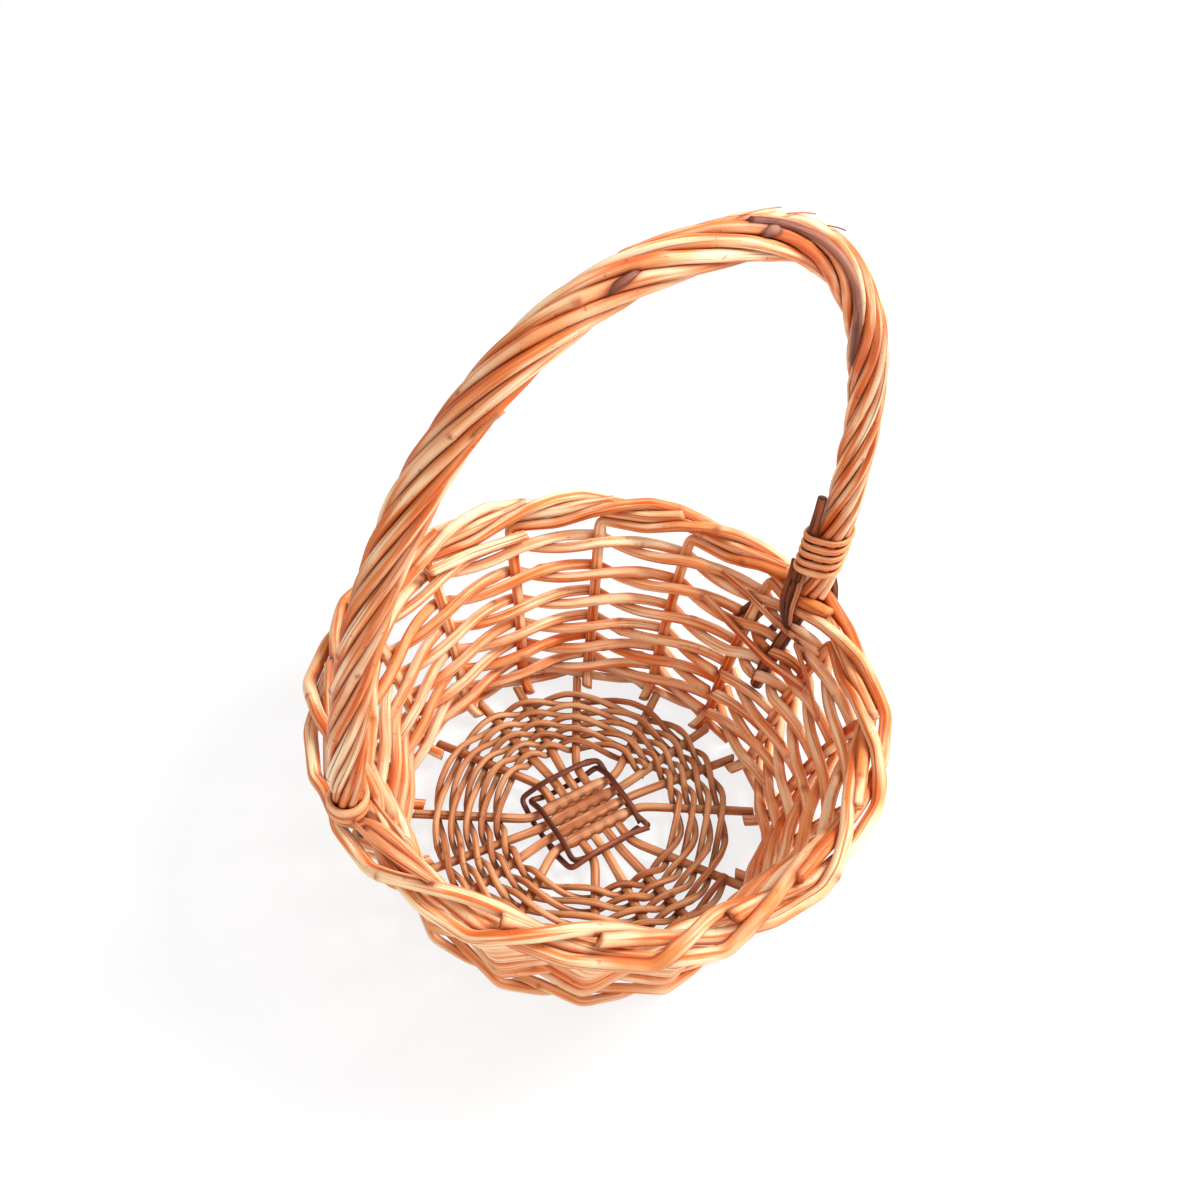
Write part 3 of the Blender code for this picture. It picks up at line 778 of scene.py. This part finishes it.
def stickStations(lane, heading):
    across = (lane - (base["sticks"] - 1) / 2.0) * base["spacing"]
    along = Vector((math.cos(heading), math.sin(heading), 0.0))
    side = Vector((-along.y, along.x, 0.0))
    quarter = round(heading / (turn / 4.0)) * base["sticks"]
    near = (quarter + lane - base["sticks"] // 2) % basket["stakes"]
    far = (quarter + basket["stakes"] // 2 + base["sticks"] // 2 - 1 - lane) % basket["stakes"]
    middle = Vector((0.0, 0.0, basket["baseHeight"])) + side * across
    splay = along * base["splay"]
    return stickEnd(far), middle - splay, middle, middle + splay, stickEnd(near)


def makeSticks():
    draw = random.Random(3)
    for lane in range(base["sticks"]):
        for heading, kind in ((0.0, "pierced"), (turn / 4.0, "threaded")):
            far, farKnee, middle, nearKnee, near = stickStations(lane, heading)
            diameter = base["stickDiameter"]
            name = kind + "Stick" + str(lane + 1)
            rod = makeRod(name, [far, farKnee, middle, nearKnee, near], diameter,
                          [kind + "_stick_" + str(lane + 1)], "baseWillow",
                          draw.uniform(0.2, 0.9), 71.5 + lane + 4 * (kind == "pierced"), bend=8)
            along = (nearKnee - farKnee).normalized()
            for vertex in rod.data.vertices:
                out = vertex.co - middle
                reach = abs(out.dot(along))
                share = min(max((base["crossReach"] - reach) / base["crossEase"], 0.0), 1.0)
                if kind == "pierced":
                    aside = out - along * out.dot(along)
                    vertex.co += aside * (base["piercedDiameter"] / diameter - 1.0) * share
                else:
                    vertex.co.z += (middle.z - vertex.co.z) * base["threadedFlat"] * share


def stickAngle(index, radius):
    quarter = ((index + base["sticks"] // 2) % basket["stakes"]) // base["sticks"]
    heading = quarter * turn / 4.0
    lane = (index + base["sticks"] // 2) % base["sticks"]
    across = (lane - (base["sticks"] - 1) / 2.0) * base["spacing"]
    along = Vector((math.cos(heading), math.sin(heading)))
    side = Vector((-along.y, along.x))
    knee = along * base["splay"] + side * across
    run = stickEnd(index).to_2d() - knee
    a = run.dot(run)
    b = 2.0 * knee.dot(run)
    c = knee.dot(knee) - radius * radius
    share = (-b + math.sqrt(b * b - 4.0 * a * c)) / (2.0 * a)
    place = knee + run * share
    return math.atan2(place.y, place.x)


def basePath(firstSide):
    radius = base["weaveDiameter"] / 2.0
    reach = base["stickDiameter"] / 2.0 + radius + hair
    half = radius + hair / 2.0
    lift = half / math.sqrt(1.0 - (half / reach) ** 2)
    pitch = 2.0 * lift + base["weaveDiameter"] + hair
    stakes = basket["stakes"]
    steps = int((base["weaveEnd"] - base["weaveStart"]) / pitch * stakes)
    path = []
    for i in range(steps + 1):
        ring = base["weaveStart"] + pitch * i / stakes
        here = stickAngle(i % stakes, ring)
        side = firstSide if i % 2 == 0 else -firstSide
        path.append(polar(here, ring, basket["baseHeight"] + side * (reach + hair)))
        if i < steps:
            after = stickAngle((i + 1) % stakes, ring)
            apart = math.remainder(after - here, turn)
            for share in (0.25, 0.5, 0.75):
                bow = side * lift * math.sin(math.pi * share)
                wave = side * (reach + hair) * math.cos(math.pi * share)
                out = ring + pitch / stakes * share + bow
                path.append(polar(here + apart * share, out, basket["baseHeight"] + wave))
    return path


def tiePath(corner, firstSide):
    path = []
    for quarter in range(4):
        thick = (base["piercedDiameter"] if quarter % 2 == 0 else base["stickDiameter"]) / 2.0
        side = firstSide if quarter % 2 == 0 else -firstSide
        reach = thick + base["tieDiameter"] / 2.0 + hair
        edge = (base["sticks"] - 1) / 2.0 * base["spacing"]
        heading = quarter * turn / 4.0
        along = Vector((math.cos(heading), math.sin(heading), 0.0))
        beside = Vector((-along.y, along.x, 0.0))
        level = Vector((0.0, 0.0, basket["baseHeight"]))
        lift = Vector((0.0, 0.0, side * reach * base["tieLift"]))
        path.append(along * corner - beside * corner + level)
        path.append(along * corner - beside * edge + level + lift)
        path.append(along * corner + beside * edge + level + lift)
    return [path[0].lerp(path[1], base["tieGap"])] + path[1:] + [path[0].lerp(path[-1], base["tieGap"])]


def makeBase():
    makeSticks()
    outer = base["tieRadius"] + base["tieDiameter"] + hair
    makeRod("baseTieA", tiePath(base["tieRadius"], 1.0), base["tieDiameter"], ["base_tie_a"],
            "darkWillow", 0.2, 81.5, bend=3)
    makeRod("baseTieB", tiePath(outer, -1.0), base["tieDiameter"], ["base_tie_b"],
            "darkWillow", 0.3, 82.5, bend=3)
    makeRod("baseWeaverA", basePath(1.0), base["weaveDiameter"], ["base_weaver_a"],
            "baseWillow", 0.35, 83.5, bend=2)
    makeRod("baseWeaverB", basePath(-1.0), base["weaveDiameter"], ["base_weaver_b"],
            "baseWillow", 0.6, 84.5, bend=2)


# Handle: a stiff bow whose legs stand in the wall, wrapped in eight twisted rods

handle = {
    "rodDiameter": 0.0047,
    "rods": 8,
    "lay": 0.172,
    "halfSpan": 0.1365,
    "springHeight": 0.125,
    "rise": 0.257,
    "lean": 0.0172,
    "fullness": 2.35,
    "rodFoot": 0.1195,
    "legSteps": 3,
    "archSteps": 120,
    "stations": 300,
    "drift": 0.12,
    "driftGrain": 14.0,
    "wander": 0.0006,
    "wanderGrain": 18.0,
    "thickness": (0.93, 1.1),
    "leftShrink": {"share": 0.32, "length": 0.035},
}


def handleLine():
    leg = []
    for i in range(handle["legSteps"] + 1):
        height = basket["legEnd"] + (basket["wallTopHeight"] - basket["legEnd"]) * i / handle["legSteps"]
        leg.append((wallRadius(height), height))
    leg.append((basket["borderRadius"], basket["borderHeight"]))
    arch = []
    steps = handle["archSteps"]
    for i in range(steps + 1):
        angle = math.pi * i / steps
        reach = abs(math.cos(angle)) ** (2.0 / handle["fullness"])
        rise = math.sin(angle) ** (2.0 / handle["fullness"]) if 0 < i < steps else 0.0
        across = math.copysign(handle["halfSpan"] * reach, math.cos(angle))
        arch.append(Vector((across, -handle["lean"] * rise, handle["springHeight"] + handle["rise"] * rise)))
    right = [Vector((x, 0.0, z)) for x, z in leg]
    left = [Vector((-x, 0.0, z)) for x, z in reversed(leg)]
    return right + arch + left


def lineFrame(points, index):
    along = (points[min(index + 1, len(points) - 1)] - points[max(index - 1, 0)]).normalized()
    inward = Vector((0.0, 1.0, 0.0)).cross(along).normalized()
    return inward, along.cross(inward)


def bundleRing():
    return basket["coreRadius"] + handle["rodDiameter"] / 2.0 + hair / 2.0


def handleRodPath(line, index):
    ring = bundleRing()
    length = pathLength(line)
    shrink = handle["leftShrink"]
    path = []
    run = 0.0
    for i, place in enumerate(line):
        if i > 0:
            run += (place - line[i - 1]).length
        angle = turn * index / handle["rods"] + turn * run / handle["lay"]
        angle += noise.noise(Vector((run * handle["driftGrain"], index * 5.3, 2.0))) * handle["drift"]
        reach = ring + handle["wander"] * noise.noise(Vector((run * handle["wanderGrain"], index * 3.7, 8.0)))
        reach *= 1.0 - shrink["share"] * max(1.0 - (length - run) / shrink["length"], 0.0)
        inward, beside = lineFrame(line, i)
        path.append(place + inward * (reach * math.cos(angle)) + beside * (reach * math.sin(angle)))
    return path


def makeHandle():
    draw = random.Random(9)
    line = handleLine()
    dense = resample(line, finePoints)
    wrapped = resample([p for p in dense if p.z >= handle["rodFoot"]], handle["stations"])
    makeRod("handleCore", line, 2.0 * basket["coreRadius"], ["handle_core"], "darkWillow",
            0.1, 40.5, bend=4)
    for index in range(handle["rods"]):
        diameter = handle["rodDiameter"] * draw.uniform(*handle["thickness"])
        makeRod("handleRod" + str(index + 1), handleRodPath(wrapped, index), diameter,
                ["handle_strand_" + str(index + 1)], "handleWillow",
                draw.uniform(0.0, 0.9), 41.5 + index, bend=2, taper=handle["leftShrink"])
    return wrapped


# Feet of the handle: a split rod wound round each, and a peg driven in beside the right one

bindings = {
    "width": 0.0038,
    "leftWidth": 0.0062,
    "flatness": 0.5,
    "gap": 0.0003,
    "right": {"start": 0.1385, "turns": 5, "pitch": 0.0063},
    "left": {"start": 0.1230, "turns": 2, "pitch": 0.0044},
    "points": 40,
    "legPoints": 500,
    "pegDiameter": 0.006,
    "pegLow": 0.1315,
    "pegHigh": 0.196,
    "pegTurn": 0.44,
}


def legStretch(line, low, right):
    side = line if right else list(reversed(line))
    fine = resample(side, finePoints)
    return [p for p in fine if p.z >= low][:bindings["legPoints"]]


def pegOffset():
    return bundleRing() + handle["rodDiameter"] / 2.0 + hair + bindings["pegDiameter"] / 2.0


def bindingPath(line, look, right, pegAngle):
    bundle = bundleRing() + handle["rodDiameter"] / 2.0
    if not right:
        bundle *= 1.0 - handle["leftShrink"]["share"] / 2.0
    cover = bindings["width"] * bindings["flatness"] / 2.0 + bindings["gap"]
    dense = legStretch(line, look["start"], right)
    path = []
    k = 0
    for i in range(look["turns"] * bindings["points"] + 1):
        run = look["pitch"] * i / bindings["points"]
        while k < len(dense) - 1 and (dense[k] - dense[0]).length < run:
            k += 1
        angle = turn * i / bindings["points"]
        inward, beside = lineFrame(dense, k)
        facing = inward * math.cos(angle) + beside * math.sin(angle)
        around = facing * (bundle + cover)
        if pegAngle is not None:
            reach = pegOffset() * math.cos(angle - pegAngle) + bindings["pegDiameter"] / 2.0
            if reach > bundle:
                pegWay = inward * math.cos(pegAngle) + beside * math.sin(pegAngle)
                around = pegWay * pegOffset() + facing * (bindings["pegDiameter"] / 2.0 + cover)
        path.append(dense[k] + around)
    return path


def pressTo(line):
    # Flattens a split rod against the bundle that it is wound round
    tree = kdtree.KDTree(len(line))
    for i, place in enumerate(line):
        tree.insert(place, i)
    tree.balance()

    def press(centre, out):
        near, i, away = tree.find(centre)
        facing = (centre - near).normalized()
        return out - facing * (out.dot(facing) * (1.0 - bindings["flatness"]))

    return press


def makeFeet(line):
    pegAngle = turn * bindings["pegTurn"]
    right = bindingPath(line, bindings["right"], True, pegAngle)
    left = bindingPath(line, bindings["left"], False, None)
    press = pressTo(line)
    # The bindings take the brightened willow look, painted light against the shade at the handle's feet
    makeRod("bindingRight", right, bindings["width"], ["binding_right"], "boundWillowPaintedLight",
            0.3, 51.5, bend=6, marks=0.0, press=press)
    makeRod("bindingLeft", left, bindings["leftWidth"], ["binding_left"], "boundWillowPaintedLight",
            0.4, 52.5, bend=3, marks=0.0, press=press)
    beside = legStretch(line, bindings["pegLow"], True)
    way = []
    for i, place in enumerate(beside):
        if place.z <= bindings["pegHigh"]:
            inward, across = lineFrame(beside, i)
            way.append(place + (inward * math.cos(pegAngle) + across * math.sin(pegAngle)) * pegOffset())
    makeRod("handlePeg", way, bindings["pegDiameter"], ["handle_peg"], "darkWillow", 0.4, 53.5,
            bend=3, ends=(1.0, 0.78))


# Strays: split strips and dark rod ends at the handle's feet. Each has its width, how thick it is against its
# width, its look, and a route of degrees round the basket, radius and height

strays = {
    "tailStrip": (0.0046, 0.45, "splitWillow", [
        (22.0, 0.1215, 0.1035), (14.5, 0.1205, 0.101), (4.5, 0.119, 0.0985), (-6.5, 0.1205, 0.1015),
        (-13.0, 0.1230, 0.107)]),
    "wideStrip": (0.0066, 0.3, "splitWillow", [
        (24.0, 0.1135, 0.088), (11.5, 0.1100, 0.082), (-3.0, 0.1098, 0.081), (-17.5, 0.1145, 0.091)]),
    "downStrip": (0.0052, 0.35, "splitWillow", [
        (-6.5, 0.1185, 0.1005), (-17.0, 0.1160, 0.095), (-29.0, 0.1150, 0.093)]),
    "darkTailA": (0.0036, 0.7, "darkWillow", [
        (4.4, 0.1268, 0.139), (4.0, 0.1262, 0.128), (3.4, 0.1222, 0.116), (1.0, 0.1195, 0.107),
        (-1.5, 0.1195, 0.103)]),
    "darkTailB": (0.0030, 0.8, "darkWillow", [
        (2.6, 0.1262, 0.139), (2.0, 0.1255, 0.127), (1.2, 0.1218, 0.115), (-0.8, 0.1195, 0.106),
        (-2.6, 0.1200, 0.101)]),
    "paleTail": (0.0030, 0.5, "splitWillow", [
        (0.8, 0.1262, 0.139), (0.2, 0.1252, 0.126), (-0.6, 0.1216, 0.114), (-2.2, 0.1198, 0.1055)]),
    "darkEndA": (0.0042, 0.9, "darkWillow", [
        (12.5, 0.1270, 0.0905), (14.0, 0.1240, 0.083), (15.5, 0.1215, 0.077)]),
    "darkEndB": (0.0042, 0.9, "darkWillow", [
        (9.5, 0.1262, 0.0885), (11.0, 0.1230, 0.079), (12.0, 0.1205, 0.073)]),
    "darkEndC": (0.0044, 0.9, "darkWillow", [
        (4.5, 0.1258, 0.0855), (6.0, 0.1225, 0.077), (7.0, 0.1195, 0.069)]),
    "darkOuter": (0.0044, 0.9, "darkWillow", [
        (3.5, 0.1468, 0.137), (1.3, 0.1472, 0.131), (-1.7, 0.1468, 0.124), (-3.6, 0.1448, 0.1165),
        (-4.4, 0.1430, 0.111)]),
    "looseSplit": (0.0034, 0.6, "splitWillow", [
        (184.5, 0.1395, 0.1268), (190.0, 0.1385, 0.1262), (196.0, 0.1365, 0.1258), (203.0, 0.1345, 0.1245)]),
    "leftStrip": (0.0048, 0.35, "splitWillow", [
        (181.5, 0.1270, 0.129), (184.5, 0.1248, 0.122), (188.5, 0.1225, 0.113), (191.0, 0.1215, 0.106)]),
    "backRod": (0.0060, 1.0, "wallWillow", [
        (104.0, 0.1235, 0.1085), (92.0, 0.1225, 0.1075), (76.0, 0.1228, 0.1085)]),
}
# Bark, hairs and knots on the handle: width, look, where along the handle from its right spring, the turn
# round the bundle in degrees from the outside of the arch, and how far clear of the rods
fibres = {
    "peeledStrand": (0.0034, "barkWillow", (0.304, 0.172), (-12.0, -185.0), (-0.0026, -0.0010, -0.0030)),
    "fibreA": (0.0005, "splitWillow", (0.306, 0.287), (6.0, 14.0), (-0.0002, 0.0007, 0.0012)),
    "fibreB": (0.0005, "splitWillow", (0.286, 0.270), (0.0, 9.0), (-0.0002, 0.0008, 0.0014)),
    "fibreC": (0.0005, "darkWillow", (0.264, 0.252), (-8.0, 0.0), (-0.0002, 0.0008, 0.0016)),
    "fibreD": (0.0010, "splitWillow", (0.425, 0.412), (-82.0, -92.0), (-0.0004, 0.0010, 0.0020)),
    "scar": (0.0034, "barkWillow", (0.363, 0.350), (-52.0, -47.0), (-0.0044, -0.0006, -0.0044)),
    "darkKnot": (0.0042, "barkWillow", (0.2995, 0.2915), (-46.0, -44.0), (-0.0052, -0.0004, -0.0052)),
}


def pressToWall(flatness):
    # Flattens a strip against the wall that it lies on
    def press(centre, out):
        facing = Vector((centre.x, centre.y, 0.0)).normalized()
        return out - facing * (out.dot(facing) * (1.0 - flatness))

    return press


def makeStrays():
    draw = random.Random(17)
    for name, (width, flatness, willow, places) in strays.items():
        route = [polar(math.radians(degrees), radius, height) for degrees, radius, height in places]
        makeRod(name, route, width, [], willow, draw.uniform(0.1, 0.6), 130.5 + len(rodLines),
                bend=4, marks=0.3, press=pressToWall(flatness))


def makeFibres(line):
    draw = random.Random(19)
    dense = [p for p in resample(line, finePoints) if p.z >= handle["springHeight"]]
    total = pathLength(dense)
    bundle = bundleRing() + handle["rodDiameter"] / 2.0
    for name, (width, willow, (low, high), turns, lifts) in fibres.items():
        count = max(int(abs(high - low) / rodShape["step"]), 4)
        route = []
        for i in range(count + 1):
            share = i / count
            k = round((low + (high - low) * share) / total * (len(dense) - 1))
            inward, beside = lineFrame(dense, k)
            angle = math.radians(turns[0] + (turns[1] - turns[0]) * share)
            first, middle, last = lifts
            lift = first * (1.0 - share) ** 2 + middle * 2.0 * share * (1.0 - share) + last * share ** 2
            reach = bundle + width / 2.0 + lift
            route.append(dense[k] + inward * (reach * math.cos(angle)) + beside * (reach * math.sin(angle)))
        makeRod(name, route, width, [], willow, draw.uniform(0.1, 0.6), 150.5 + len(rodLines),
                bend=1, marks=0.0)


makeRows()
print("wall woven")
makeStakes()
print("stakes and border laid")
makeFoot()
makeBase()
print("foot and base made")
wrappedLine = makeHandle()
makeFeet(wrappedLine)
makeStrays()
makeFibres(wrappedLine)
paintCreaseShade()
print("handle wrapped and bound")


# Floor, light and camera

studio = {
    "floorSize": 14.0,
    "floorDrop": 0.0002,
    "floorColour": (0.93, 0.93, 0.93, 1.0),
    "floorRoughness": 0.9,
    "floorGlow": 0.8,
    "white": (1.0, 1.0, 1.0, 1.0),
    "aimHeight": 0.12,
    "skyStrength": 0.68,
    "keyPower": 27.0,
    "keySize": 0.55,
    "keyPlace": (0.85, -0.3, 1.15),
    "fillPower": 4.0,
    "fillSize": 1.2,
    "fillPlace": (-0.5, -0.9, 0.9),
}


def makeFloor():
    bpy.ops.object.select_all(action="DESELECT")
    bpy.ops.mesh.primitive_plane_add(size=studio["floorSize"], location=(0.0, 0.0, -studio["floorDrop"]))
    floor = bpy.context.object
    floor.name = "floor"
    material = bpy.data.materials.new("floorPaper")
    material.use_nodes = True
    tree = material.node_tree
    shader = tree.nodes["Principled BSDF"]
    shader.inputs["Base Color"].default_value = studio["floorColour"]
    shader.inputs["Roughness"].default_value = studio["floorRoughness"]
    shader.inputs["Specular IOR Level"].default_value = 0.1
    glow = addNode(tree, "ShaderNodeEmission", (0, -2), Color=studio["white"], Strength=1.0)
    share = addNode(tree, "ShaderNodeMath", (1, 3), operation="MULTIPLY")
    share.inputs[1].default_value = studio["floorGlow"]
    wire(tree, seenDirectly(tree), 0, share, 0)
    mix = addNode(tree, "ShaderNodeMixShader", (2, 0))
    wire(tree, share, 0, mix, 0)
    tree.links.new(shader.outputs[0], mix.inputs[1])
    tree.links.new(glow.outputs[0], mix.inputs[2])
    output = tree.nodes["Material Output"]
    tree.links.new(mix.outputs[0], output.inputs["Surface"])
    floor.data.materials.append(material)


def makeSky():
    world = bpy.data.worlds.new("studioSky")
    bpy.context.scene.world = world
    world.use_nodes = True
    tree = world.node_tree
    background = tree.nodes["Background"]
    background.inputs["Strength"].default_value = studio["skyStrength"]
    background.inputs["Color"].default_value = studio["white"]
    white = addNode(tree, "ShaderNodeBackground", (0, -2), Color=studio["white"], Strength=1.0)
    mix = addNode(tree, "ShaderNodeMixShader", (2, 0))
    wire(tree, seenDirectly(tree), 0, mix, 0)
    tree.links.new(background.outputs[0], mix.inputs[1])
    tree.links.new(white.outputs[0], mix.inputs[2])
    tree.links.new(mix.outputs[0], tree.nodes["World Output"].inputs["Surface"])


def makeLamp(name, power, size, place):
    lamp = bpy.data.lights.new(name, "AREA")
    lamp.energy = power
    lamp.size = size
    lampObject = bpy.data.objects.new(name, lamp)
    bpy.context.collection.objects.link(lampObject)
    lampObject.location = place
    aim = Vector((0.0, 0.0, studio["aimHeight"])) - Vector(place)
    lampObject.rotation_mode = "QUATERNION"
    lampObject.rotation_quaternion = aim.to_track_quat("-Z", "Y")


view = {"target": (0.0352, 0.0537, 0.115), "way": (0.4175, 0.5229, -0.7431), "distance": 0.7, "roll": 6.9,
        "lens": 39.84, "sensor": 36.0}


def makeCamera():
    camera = bpy.data.cameras.new("camera")
    camera.lens = view["lens"]
    camera.sensor_width = view["sensor"]
    cameraObject = bpy.data.objects.new("camera", camera)
    bpy.context.collection.objects.link(cameraObject)
    way = Vector(view["way"]).normalized()
    cameraObject.location = Vector(view["target"]) - way * view["distance"]
    cameraObject.rotation_mode = "QUATERNION"
    roll = Quaternion((0.0, 0.0, 1.0), math.radians(view["roll"]))
    cameraObject.rotation_quaternion = way.to_track_quat("-Z", "Y") @ roll
    bpy.context.scene.camera = cameraObject


makeFloor()
makeSky()
makeLamp("keyLamp", studio["keyPower"], studio["keySize"], studio["keyPlace"])
makeLamp("fillLamp", studio["fillPower"], studio["fillSize"], studio["fillPlace"])
makeCamera()
bpy.context.scene.view_settings.view_transform = "Standard"
print("floor, lamps and camera set")
